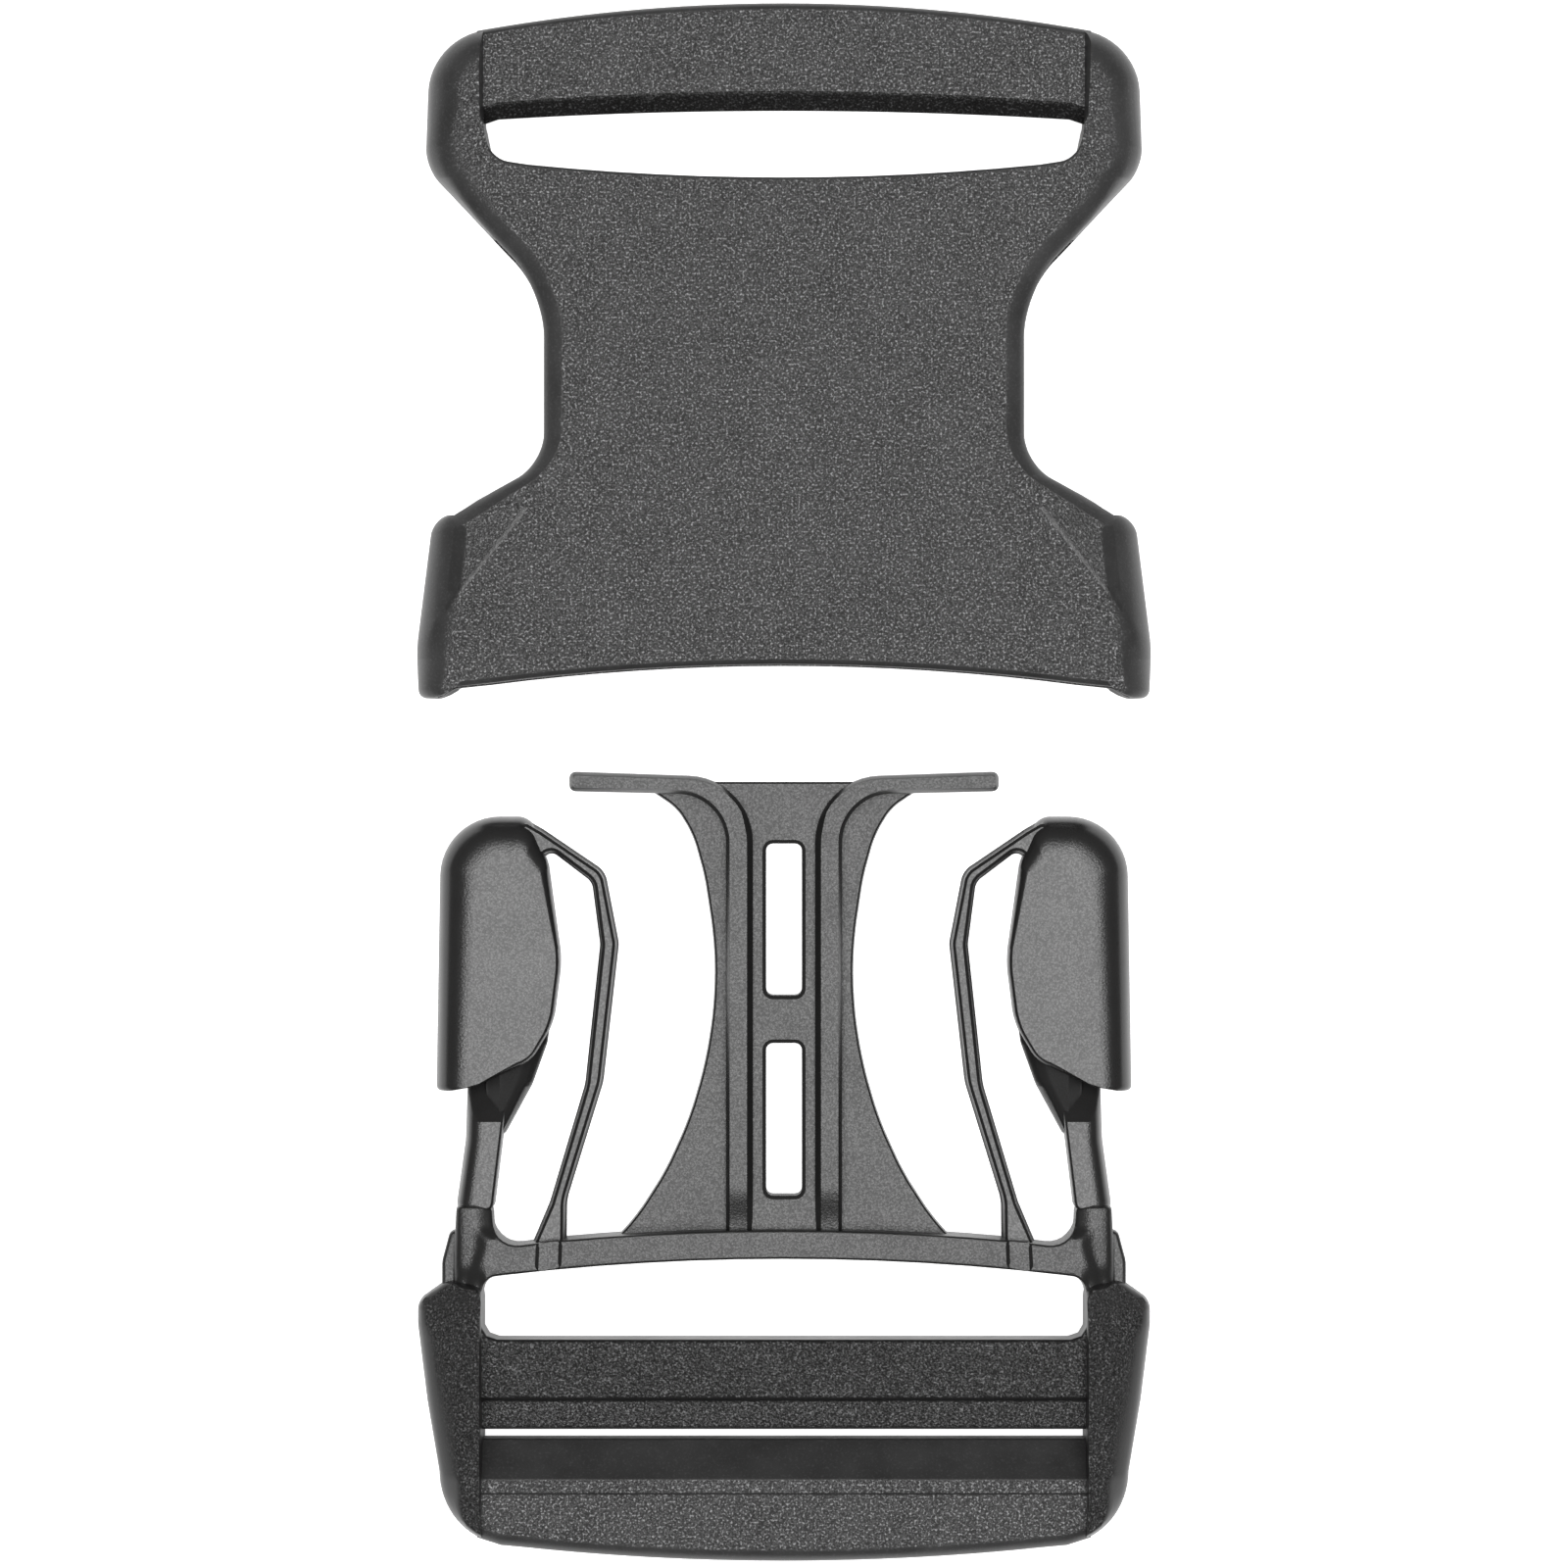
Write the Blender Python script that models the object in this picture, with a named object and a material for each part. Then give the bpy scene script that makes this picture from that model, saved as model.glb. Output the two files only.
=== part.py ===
# Side release buckle for 50 mm webbing, lying flat and unfastened: the socket above, the plug
# below. X runs across the strap, Y along it, Z up from the surface. Sizes are in millimetres.
import math

import bmesh
import bpy
from mathutils import Vector

MM = 0.001

# Both halves
THICKNESS = 12.0
MID_HEIGHT = THICKNESS / 2
RIM_RADIUS = 0.9
SLOT_HALF_WIDTH = 25.85
BAR_OVERLAP = 0.6
CLEARANCE = 0.3

# Socket. Corners are X, Y and the turning radius in plan, on the +X side.
SOCKET_TOP = 67.4
CROWN_HALF_WIDTH = 25.5
CROWN_END = 64.8
CROWN_STEPS = 8
EAR_HALF_WIDTH = 31.0
MOUTH_TIP = 7.3
MOUTH_HALF_WIDTH = 31.9
MOUTH_MIDDLE = 10.4
MOUTH_CROWN_HALF_WIDTH = 26.0
MOUTH_CROWN_END = 8.7
WAIST_HALF_WIDTH = 20.7
SOCKET_SIDE_CORNERS = [
    (EAR_HALF_WIDTH, 63.9, 5.2),
    (EAR_HALF_WIDTH, 53.4, 2.0),
    (WAIST_HALF_WIDTH, 42.4, 10.0),
    (WAIST_HALF_WIDTH, 27.3, 4.4),
    (30.5, 22.4, 1.9),
    (MOUTH_HALF_WIDTH, 11.5, 12.0),
    (31.6, MOUTH_TIP, 1.0),
    (28.1, MOUTH_TIP + 0.1, 0.9),
    (27.4, 8.5, 0.9),
]
PLATE_THICKNESS = 2.0
SLOT_LOWER_EDGE = 52.3
SLOT_LOWER_END = 53.4
SLOT_CORNER = (SLOT_HALF_WIDTH, 53.9, 2.1)
SLOT_CROWN_HALF_WIDTH = 22.0
SLOT_CROWN_STEPS = 6
SLOT_UPPER_EDGE = 58.8
SLOT_UPPER_DROP = 0.8
SOCKET_BAR_LOW = 2.8
SOCKET_BAR_HIGH = 9.2
SOCKET_BAR_OUTER_RADIUS = 1.2
SOCKET_BAR_INNER_RADIUS = 1.6
SOCKET_BAR_SET_BACK = 0.05
SOCKET_BAR_END_REACH = 0.9
RING_TOP = 23.0
CAVITY_END = 51.2
CAVITY_SHOULDER = 47.2
CAVITY_SIDE = 36.0
CAVITY_CORNERS = [
    (19.3, CAVITY_END, 0.8),
    (20.6, CAVITY_SHOULDER, 0.8),
    (CAVITY_SIDE, CAVITY_SHOULDER, 0),
    (CAVITY_SIDE, RING_TOP, 0),
    (28.2, RING_TOP, 0.3),
    (29.95, 10.5, 0),
    (30.35, 4.0, 0),
]
SHOULDER_SLOPE = 0.2
SHOULDER_LIMIT = 26.2
SHOULDER_START = (21.8, 25.3)
SHOULDER_RUN = (6.2, -10.2)

# Plug: the cross bar, the middle guide and the ladder frame for the strap
INSERT_LOW = 2.4
INSERT_HIGH = 9.6
GUIDE_HALF_WIDTH = 18.6
GUIDE_TOP = 0.9
GUIDE_RIB_INNER = 2.85
GUIDE_RIB_OUTER = 4.8
GUIDE_RIB_SET_DOWN = 0.1
GUIDE_RIB_RIM = 0.25
GUIDE_PLATE_LOW = 3.8
GUIDE_PLATE_CORNERS = [(7.2, 0.0, 0), (3.4, -5.0, 0), (3.4, -39.6, 0)]
GUIDE_WEB_LOW = 4.6
GUIDE_WEB_ROWS = [
    (12.6, -0.5),
    (10.3, -1.9),
    (8.3, -3.9),
    (7.2, -7.2),
    (6.3, -11.5),
    (6.0, -16.5),
    (6.2, -21.0),
    (7.0, -25.6),
    (8.2, -29.2),
    (10.2, -33.8),
    (12.4, -37.3),
    (14.2, -39.4),
]
GUIDE_WINDOW_HALF_WIDTH = 1.55
GUIDE_WINDOW_RADIUS = 0.6
GUIDE_WINDOWS = [(-5.1, -18.7), (-22.6, -36.1)]
CROSSBAR_TOP = -38.6
CROSSBAR_BOTTOM = -41.3
CROSSBAR_DROOP = 1.5
CROSSBAR_DROOP_REACH = 25.0
CROSSBAR_STEP = 4
CROSSBAR_RIM = 0.35
LUG_HALF_WIDTH = 29.65
COLUMN_TOP = -37.2
COLUMN_FOOT = -44.6
COLUMN_CORNERS = [
    (24.9, -40.2, 2.4),
    (25.1, COLUMN_TOP, 0.4),
    (28.5, COLUMN_TOP, 0.4),
    (28.7, -39.1, 0.4),
    (LUG_HALF_WIDTH - 0.4, -39.4, 0.4),
    (LUG_HALF_WIDTH, COLUMN_FOOT, 0),
    (26.4, COLUMN_FOOT, 0),
]
COLUMN_INNER = 25.6
RAIL_TOP = -43.1
RAIL_HALF_WIDTH = 31.5
PLUG_BOTTOM = -67.35
LADDER_LOW = 1.8
LADDER_HIGH = 10.2
STRAP_BAR_TOP = -49.1
STRAP_BAR_STEP = -53.8
STRAP_BAR_BOTTOM = -56.7
STRAP_BAR_STEP_DEPTH = 1.1
END_BAR_TOP = -58.5
END_BAR_SLANT_END = -60.2
END_BAR_SET_DOWN = 0.2
END_BAR_DROOP = 1.3
RAIL_CORNER_X = 23.6
RAIL_CORNER_Y = -60.1
RAIL_CORNER_RADIUS = 6.0
RAIL_CORNER_END = -12
RAIL_CORNERS = [
    (RAIL_CORNER_X + RAIL_CORNER_RADIUS, RAIL_CORNER_Y, 0),
    (30.6, -53.5, 0),
    (RAIL_HALF_WIDTH, -47.0, 2.0),
    (RAIL_HALF_WIDTH, -44.7, 1.3),
    (29.2, RAIL_TOP, 1.0),
    (SLOT_HALF_WIDTH, RAIL_TOP - 0.2, 1.0),
]

# Release arms
PAD_HALF_WIDTH = 30.05
PAD_TOP = -3.2
PAD_HEEL = -26.8
PAD_ROUNDING = 1.3
PAD_ROUNDING_START = 26.5
ARM_RIM = 0.4
ARM_PIVOT_X = 20.1
ARM_PIVOT_Y = -40.0
STEM_END = COLUMN_TOP + CLEARANCE
STRUT_FOOT = -39.05
ARM_CORNERS = [
    (28.45, STEM_END, 0.5),
    (27.3, PAD_HEEL + 0.1, 0.5),
    (PAD_HALF_WIDTH, PAD_HEEL, 0.5),
    (29.6, PAD_TOP - 0.1, 5.2),
    (20.0, PAD_TOP, 1.0),
    (15.2, -8.8, 2.6),
    (14.5, -14.0, 3.0),
    (15.8, -26.0, 5.0),
    (18.6, -36.2, 4.0),
    (18.5, STRUT_FOOT, 0.5),
    (21.6, STRUT_FOOT, 0.5),
    (17.1, -26.2, 5.0),
    (15.8, -14.1, 3.0),
    (16.5, -9.2, 1.8),
    (20.9, -5.0, 0.7),
    (19.0, -14.8, 9.0),
    (20.6, -23.6, 6.0),
    (24.3, -30.4, 4.0),
    (25.1, STEM_END, 0.5),
]


def clear_scene():
    for old in list(bpy.data.objects):
        bpy.data.objects.remove(old, do_unlink=True)


def plastic(name, colour, roughness):
    material = bpy.data.materials.new(name)
    material.use_nodes = True
    shader = material.node_tree.nodes["Principled BSDF"]
    shader.inputs["Base Color"].default_value = (*colour, 1.0)
    shader.inputs["Roughness"].default_value = roughness
    shader.inputs["Metallic"].default_value = 0.0
    return material


def arc(centre_x, centre_y, radius, start, end, steps):
    """Points along an arc, with the angles in degrees."""
    points = []
    for step in range(steps + 1):
        angle = math.radians(start + (end - start) * step / steps)
        x = centre_x + radius * math.cos(angle)
        y = centre_y + radius * math.sin(angle)
        points.append(Vector((x, y)))
    return points


def crowned(half_width, middle, end, steps):
    """Corners along a shallow crown, from the middle out to +X."""
    corners = []
    for step in range(steps + 1):
        share = step / steps
        corners.append((half_width * share, middle + (end - middle) * share**2, 0))
    return corners


def mirrored(right_half):
    """A right half, given from its upper end to its lower end, with its mirror image."""
    left_half = []
    for x, y, radius in reversed(right_half):
        if x > 0:
            left_half.append((-x, y, radius))
    return right_half + left_half


def rounded_outline(corners, steps=5):
    """Closed outline through corners of x, y and turning radius."""
    outline = []
    for index, (x, y, radius) in enumerate(corners):
        corner = Vector((x, y))
        if radius == 0:
            outline.append(corner)
            continue
        back = (Vector(corners[index - 1][:2]) - corner).normalized()
        ahead = (Vector(corners[(index + 1) % len(corners)][:2]) - corner).normalized()
        half_angle = back.angle(ahead) / 2
        centre = corner + (back + ahead).normalized() * radius / math.sin(half_angle)
        first = corner + back * radius / math.tan(half_angle) - centre
        turn = math.pi - 2 * half_angle
        if back.x * ahead.y - back.y * ahead.x > 0:
            turn = -turn
        for step in range(steps + 1):
            angle = turn * step / steps
            x_turned = first.x * math.cos(angle) - first.y * math.sin(angle)
            y_turned = first.x * math.sin(angle) + first.y * math.cos(angle)
            outline.append(centre + Vector((x_turned, y_turned)))
    return outline


def inward_directions(outline):
    """For each point of an outline, the step that moves both its edges in by one unit."""
    area = 0.0
    for index, point in enumerate(outline):
        area += outline[index - 1].x * point.y - outline[index - 1].y * point.x
    side = 1 if area > 0 else -1
    directions = []
    for index, point in enumerate(outline):
        before = (point - outline[index - 1]).normalized()
        after = (outline[(index + 1) % len(outline)] - point).normalized()
        first = Vector((-before.y, before.x)) * side
        second = Vector((-after.y, after.x)) * side
        middle = (first + second).normalized()
        directions.append(middle / max(middle.dot(first), 0.6))
    return directions


def rolled_levels(low, high, radius, steps=3):
    """Heights and insets up a solid whose lower and upper rims are rolled over."""
    levels = []
    for step in range(steps + 1):
        angle = math.pi / 2 * step / steps
        levels.append((low + radius * (1 - math.cos(angle)), radius * (1 - math.sin(angle))))
    for height, inset in reversed(levels[: steps + 1]):
        levels.append((low + high - height, inset))
    return levels


def finish_mesh(name, mesh_data):
    bmesh.ops.remove_doubles(mesh_data, verts=mesh_data.verts, dist=0.000001)
    bmesh.ops.recalc_face_normals(mesh_data, faces=mesh_data.faces)
    mesh = bpy.data.meshes.new(name)
    mesh_data.to_mesh(mesh)
    mesh_data.free()
    piece = bpy.data.objects.new(name, mesh)
    bpy.context.scene.collection.objects.link(piece)
    return piece


def skin_rings(rings):
    """Closed mesh over rings of points in millimetres, capped at both ends."""
    mesh_data = bmesh.new()
    vertex_rings = []
    for ring in rings:
        vertex_rings.append([mesh_data.verts.new(Vector(point) * MM) for point in ring])
    mesh_data.faces.new(reversed(vertex_rings[0]))
    mesh_data.faces.new(vertex_rings[-1])
    for low, high in zip(vertex_rings, vertex_rings[1:]):
        for index in range(len(low)):
            mesh_data.faces.new((low[index - 1], low[index], high[index], high[index - 1]))
    return mesh_data


def plan_solid(outline, levels, drift=None):
    """Mesh of an outline in plan, carried up through heights with their insets.

    drift gives a further step in X for a point at the full inset.
    """
    widest = max(inset for height, inset in levels)
    directions = inward_directions(outline)
    rings = []
    for height, inset in levels:
        ring = []
        for point, direction in zip(outline, directions):
            place = point + direction * inset
            if drift:
                place.x += drift(point) * inset / widest
            ring.append((place.x, place.y, height))
        rings.append(ring)
    return skin_rings(rings)


def bar_solid(section, half_length, steps=12):
    """Mesh of a bar along X, where section gives the Y and Z points at a place in X."""
    rings = []
    for step in range(2 * steps + 1):
        x = half_length * (step / steps - 1)
        rings.append([(x, point.x, point.y) for point in section(x)])
    return skin_rings(rings)


def mirror_x(piece):
    for vertex in piece.data.vertices:
        vertex.co.x = -vertex.co.x
    piece.data.flip_normals()


def combine(body, tool, operation):
    """Join a tool to a body or cut it away, and keep the tool as a hidden guide."""
    modifier = body.modifiers.new(f"{operation.lower()}_{tool.name}", "BOOLEAN")
    modifier.operation = operation
    modifier.solver = "EXACT"
    modifier.object = tool
    tool.hide_render = True
    tool.display_type = "WIRE"


def socket_outline():
    right = crowned(CROWN_HALF_WIDTH, SOCKET_TOP, CROWN_END, CROWN_STEPS) + SOCKET_SIDE_CORNERS
    mouth = crowned(MOUTH_CROWN_HALF_WIDTH, MOUTH_MIDDLE, MOUTH_CROWN_END, CROWN_STEPS)
    return rounded_outline(mirrored(right + list(reversed(mouth))))


def slope_shoulders(mesh_data):
    """The plates fall away beyond a slanted crease at each shoulder of the mouth ring."""
    for side in (-1, 1):
        crease = Vector((side * SHOULDER_START[0], SHOULDER_START[1], 0))
        along = Vector((side * SHOULDER_RUN[0], SHOULDER_RUN[1], 0)).normalized()
        outward = Vector((-along.y * side, along.x * side, 0))
        for place, normal in (((0, SHOULDER_LIMIT, 0), (0, 1, 0)), (crease, outward)):
            everything = mesh_data.verts[:] + mesh_data.edges[:] + mesh_data.faces[:]
            bmesh.ops.bisect_plane(
                mesh_data, geom=everything, plane_co=Vector(place) * MM, plane_no=normal
            )
        for vertex in mesh_data.verts:
            reach = (vertex.co / MM - crease).dot(outward)
            below_limit = vertex.co.y < (SHOULDER_LIMIT - 0.05) * MM
            if reach > 0.01 and below_limit and vertex.co.x * side > 0:
                fall = reach * SHOULDER_SLOPE * MM
                if vertex.co.z > (THICKNESS - 2 * RIM_RADIUS) * MM:
                    vertex.co.z -= fall
                elif vertex.co.z < 2 * RIM_RADIUS * MM:
                    vertex.co.z += fall


def socket_slot_cutter():
    """The strap slot, open towards the top where the bar is set in afterwards."""
    right = [(SLOT_HALF_WIDTH, SOCKET_TOP + 4, 0), SLOT_CORNER]
    lower = crowned(SLOT_CROWN_HALF_WIDTH, SLOT_LOWER_EDGE, SLOT_LOWER_END, SLOT_CROWN_STEPS)
    outline = rounded_outline(mirrored(right + list(reversed(lower))))
    levels = [(-1, 0), (THICKNESS + 1, 0)]
    return finish_mesh("slot_cutter", plan_solid(outline, levels))


def socket_cavity_cutter():
    """The flat hollow between the two plates, open at the mouth and along the waist."""
    outline = rounded_outline(mirrored(CAVITY_CORNERS), 3)
    levels = [(PLATE_THICKNESS, 0), (THICKNESS - PLATE_THICKNESS, 0)]
    return finish_mesh("cavity_cutter", plan_solid(outline, levels))


def socket_bar_section(x):
    bend = (x / CROWN_HALF_WIDTH) ** 2
    outer = SOCKET_TOP - (SOCKET_TOP - CROWN_END) * bend - SOCKET_BAR_SET_BACK
    corner = max(abs(x) - SLOT_HALF_WIDTH + SOCKET_BAR_END_REACH, 0) ** 2
    inner = SLOT_UPPER_EDGE - SLOT_UPPER_DROP * bend - corner
    corners = [
        (outer, SOCKET_BAR_LOW, SOCKET_BAR_OUTER_RADIUS),
        (outer, SOCKET_BAR_HIGH, SOCKET_BAR_OUTER_RADIUS),
        (inner, SOCKET_BAR_HIGH, SOCKET_BAR_INNER_RADIUS),
        (inner, SOCKET_BAR_LOW, SOCKET_BAR_INNER_RADIUS),
    ]
    return rounded_outline(corners, 3)


def build_socket(material):
    body_data = plan_solid(socket_outline(), rolled_levels(0, THICKNESS, RIM_RADIUS))
    slope_shoulders(body_data)
    socket = finish_mesh("socket", body_data)
    bar = finish_mesh("socket_bar", bar_solid(socket_bar_section, SLOT_HALF_WIDTH + BAR_OVERLAP))
    combine(socket, socket_slot_cutter(), "DIFFERENCE")
    combine(socket, socket_cavity_cutter(), "DIFFERENCE")
    combine(socket, bar, "UNION")
    socket.data.materials.append(material)
    return socket


def crossbar_edge(x, level):
    return level - CROSSBAR_DROOP * (x / CROSSBAR_DROOP_REACH) ** 2


def build_crossbar():
    """Cross bar with the short columns that carry the arms' stems and the side lugs."""
    upper = [(x, crossbar_edge(x, CROSSBAR_TOP), 0) for x in range(0, 21, CROSSBAR_STEP)]
    inner = [(COLUMN_INNER, crossbar_edge(COLUMN_INNER, CROSSBAR_BOTTOM), 0.8)]
    lower = [(x, crossbar_edge(x, CROSSBAR_BOTTOM), 0) for x in range(24, -1, -CROSSBAR_STEP)]
    outline = rounded_outline(mirrored(upper + COLUMN_CORNERS + inner + lower), 3)
    return plan_solid(outline, rolled_levels(INSERT_LOW, INSERT_HIGH, CROSSBAR_RIM, 1))


def build_guide_rib():
    """One rib of the middle guide, turned out into half of its cross piece."""
    corners = [
        (GUIDE_RIB_OUTER, -40.2, 0),
        (GUIDE_RIB_OUTER, -1.15, 4.2),
        (GUIDE_HALF_WIDTH, -0.85, 0.4),
        (GUIDE_HALF_WIDTH, GUIDE_TOP, 0.4),
        (GUIDE_RIB_INNER, 0.35, 5.8),
        (GUIDE_RIB_INNER, -40.2, 0),
    ]
    low = INSERT_LOW + GUIDE_RIB_SET_DOWN
    high = INSERT_HIGH - GUIDE_RIB_SET_DOWN
    return plan_solid(rounded_outline(corners), rolled_levels(low, high, GUIDE_RIB_RIM, 1))


def build_guide_plate():
    """The plate between the ribs."""
    levels = [(GUIDE_PLATE_LOW, 0), (THICKNESS - GUIDE_PLATE_LOW, 0)]
    return plan_solid(rounded_outline(mirrored(GUIDE_PLATE_CORNERS)), levels)


def build_guide_web():
    """The thin web outside the ribs, drawn in at the middle of its length."""
    right = [(half_width, y, 0) for half_width, y in GUIDE_WEB_ROWS]
    levels = [(GUIDE_WEB_LOW, 0), (THICKNESS - GUIDE_WEB_LOW, 0)]
    return plan_solid(rounded_outline(mirrored(right)), levels)


def build_guide_window(top, bottom):
    half = GUIDE_WINDOW_HALF_WIDTH
    places = [(-half, bottom), (half, bottom), (half, top), (-half, top)]
    corners = [(x, y, GUIDE_WINDOW_RADIUS) for x, y in places]
    return plan_solid(rounded_outline(corners, 3), [(0, 0), (THICKNESS, 0)])


def build_rail():
    """The right side rail of the ladder frame, from the shoulder to the rounded end."""
    outline = rounded_outline(RAIL_CORNERS, 4)
    last = math.degrees(math.acos((SLOT_HALF_WIDTH - RAIL_CORNER_X) / RAIL_CORNER_RADIUS))
    outline += arc(RAIL_CORNER_X, RAIL_CORNER_Y, RAIL_CORNER_RADIUS, -last, RAIL_CORNER_END, 3)
    return plan_solid(outline, rolled_levels(0, THICKNESS, RIM_RADIUS))


def first_bar_section(x):
    lip = LADDER_HIGH - STRAP_BAR_STEP_DEPTH
    corners = [
        (STRAP_BAR_TOP, LADDER_LOW, 0.8),
        (STRAP_BAR_TOP, LADDER_HIGH, 0.8),
        (STRAP_BAR_STEP, LADDER_HIGH, 0.3),
        (STRAP_BAR_STEP - 0.2, lip, 0),
        (STRAP_BAR_BOTTOM, lip - 0.1, 0.3),
        (STRAP_BAR_BOTTOM, LADDER_LOW, 0.5),
    ]
    return rounded_outline(corners, 2)


def second_bar_section(x):
    reach = min(abs(x), RAIL_CORNER_X)
    outer = PLUG_BOTTOM + END_BAR_DROOP * (reach / RAIL_CORNER_X) ** 2
    over = max(abs(x) - RAIL_CORNER_X, 0)
    outer += RAIL_CORNER_RADIUS - math.sqrt(RAIL_CORNER_RADIUS**2 - over**2)
    high = LADDER_HIGH - END_BAR_SET_DOWN
    corners = [
        (END_BAR_TOP, LADDER_LOW, 0.4),
        (END_BAR_SLANT_END, high, 0.4),
        (outer, high, 1.6),
        (outer, LADDER_LOW, 1.6),
    ]
    return rounded_outline(corners, 3)


def build_plug_frame(material):
    """The plug without its two spring arms: guide, cross bar, rails and ladder bars."""
    plug = finish_mesh("plug_frame", build_crossbar())
    half_length = SLOT_HALF_WIDTH + BAR_OVERLAP
    rail_left = finish_mesh("rail_left", build_rail())
    rib_left = finish_mesh("guide_rib_left", build_guide_rib())
    mirror_x(rail_left)
    mirror_x(rib_left)
    additions = [
        rail_left,
        finish_mesh("rail_right", build_rail()),
        finish_mesh("strap_bar", bar_solid(first_bar_section, half_length)),
        finish_mesh("end_bar", bar_solid(second_bar_section, half_length)),
        finish_mesh("guide_web", build_guide_web()),
        finish_mesh("guide_plate", build_guide_plate()),
        rib_left,
        finish_mesh("guide_rib_right", build_guide_rib()),
    ]
    for addition in additions:
        combine(plug, addition, "UNION")
    for number, (top, bottom) in enumerate(GUIDE_WINDOWS):
        window = finish_mesh(f"guide_window_{number}", build_guide_window(top, bottom))
        combine(plug, window, "DIFFERENCE")
    plug.data.materials.append(material)
    return plug


def arm_outline():
    """Right arm in plan: the pad with its stem outside and its slim strut inside."""
    return rounded_outline(ARM_CORNERS, 4)


def pad_drift(point):
    """The outer side of the pad is rolled over more widely than the other rims."""
    if point.y < PAD_HEEL - CLEARANCE:
        return 0.0
    reach = (point.x - PAD_ROUNDING_START) / (PAD_HALF_WIDTH - PAD_ROUNDING_START)
    share = min(max(reach, 0.0), 1.0)
    return -PAD_ROUNDING * share


def build_arm(name, side, material):
    """A release arm, whose origin is on the upright axis that it bends in about."""
    levels = rolled_levels(INSERT_LOW, INSERT_HIGH, ARM_RIM)
    arm = finish_mesh(name, plan_solid(arm_outline(), levels, pad_drift))
    if side < 0:
        mirror_x(arm)
    pivot = Vector((side * ARM_PIVOT_X, ARM_PIVOT_Y, MID_HEIGHT)) * MM
    for vertex in arm.data.vertices:
        vertex.co -= pivot
    arm.location = pivot
    arm.data.materials.append(material)
    return arm


def build_buckle():
    clear_scene()
    textured = plastic("textured_plastic", (0.075, 0.075, 0.08), 0.5)
    satin = plastic("satin_plastic", (0.13, 0.13, 0.135), 0.38)
    plug_plastic = plastic("plug_plastic", (0.095, 0.095, 0.1), 0.42)
    build_socket(textured)
    build_plug_frame(plug_plastic)
    build_arm("release_arm_left", -1, satin)
    build_arm("release_arm_right", 1, satin)


build_buckle()
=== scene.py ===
import math

import bmesh
import bpy
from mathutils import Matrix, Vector


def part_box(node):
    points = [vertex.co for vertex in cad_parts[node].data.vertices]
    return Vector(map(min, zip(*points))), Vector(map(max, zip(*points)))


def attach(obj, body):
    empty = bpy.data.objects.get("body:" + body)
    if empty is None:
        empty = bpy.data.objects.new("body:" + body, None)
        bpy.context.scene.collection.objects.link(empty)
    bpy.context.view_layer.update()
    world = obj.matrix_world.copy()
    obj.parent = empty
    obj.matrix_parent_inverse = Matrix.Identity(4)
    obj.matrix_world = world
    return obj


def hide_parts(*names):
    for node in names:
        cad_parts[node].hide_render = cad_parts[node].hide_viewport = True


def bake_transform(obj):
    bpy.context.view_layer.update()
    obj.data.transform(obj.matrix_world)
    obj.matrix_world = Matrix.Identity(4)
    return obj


# Side release buckle for 50 mm webbing, lying unfastened: the finished surfaces round its frame.
# Sizes in the dictionaries are millimetres; plan points are x, y and the radius of the corner.
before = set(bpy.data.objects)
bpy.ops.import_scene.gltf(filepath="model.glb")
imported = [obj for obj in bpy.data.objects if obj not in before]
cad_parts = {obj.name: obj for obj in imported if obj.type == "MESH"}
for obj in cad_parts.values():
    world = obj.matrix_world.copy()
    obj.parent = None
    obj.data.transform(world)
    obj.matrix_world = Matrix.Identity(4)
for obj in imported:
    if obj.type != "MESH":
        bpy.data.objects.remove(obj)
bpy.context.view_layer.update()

mm = 0.001
nearby = 0.002 * mm      # points closer than this are one corner
flush = 0.001 * mm       # points nearer the parting plane than this lie on it
smallestSetBack = 0.03
bevelRise = 0.85         # height of an edge bevel for each mm of its width
smoothAngle = 32         # degrees; faces that meet at less than this are shaded as one

socketLow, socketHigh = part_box("socket")
plugLow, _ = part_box("plug_frame")
_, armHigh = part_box("release_arm_right")
halfHeight = (socketHigh.z - socketLow.z) / 2 / mm      # both halves lie on the same parting plane
strapHalf = 25.85      # half the width of the strap slots


def pickOnly(piece):
    if bpy.context.mode != "OBJECT":
        bpy.ops.object.mode_set(mode="OBJECT")
    bpy.ops.object.select_all(action="DESELECT")
    if piece:
        piece.hide_set(False)
        piece.select_set(True)
        bpy.context.view_layer.objects.active = piece


def editMesh(piece):
    pickOnly(piece)
    bpy.ops.object.mode_set(mode="EDIT")
    bpy.ops.mesh.select_mode(type="VERT")
    bpy.ops.mesh.select_all(action="SELECT")
    return bmesh.from_edit_mesh(piece.data)


def smoothStep(value, start, end):
    share = min(max((value - start) / (end - start), 0.0), 1.0)
    return share * share * (3 - 2 * share)


def crown(halfWidth, middle, end, steps):
    # plan points along a shallow crown, from the middle out to +X
    shares = [step / steps for step in range(steps + 1)]
    return [(halfWidth * share, middle + (end - middle) * share**2, 0) for share in shares]


def bothSides(rightHalf):
    return rightHalf + [(-x, y, radius) for x, y, radius in reversed(rightHalf) if x > 0]


def roundCorners(piece, corners, points):
    # each corner is picked by its place and bevelled to its own radius
    for index, corner in enumerate(corners):
        radius = corner[2]
        if radius == 0:
            continue
        here = points[index]
        back = points[index - 1] - here
        ahead = points[(index + 1) % len(points)] - here
        setBack = radius / math.tan(back.angle(ahead) / 2)
        if setBack < smallestSetBack:
            continue
        sheet = bmesh.from_edit_mesh(piece.data)
        for vert in sheet.verts:
            vert.select_set((vert.co - here).length < nearby)
        sheet.select_flush_mode()
        bpy.ops.mesh.bevel(
            offset=setBack * mm,
            offset_type="OFFSET",
            segments=4 if radius < 0.7 else 7 if radius < 3 else 12,
            affect="VERTICES",
            clamp_overlap=False,
        )


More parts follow.
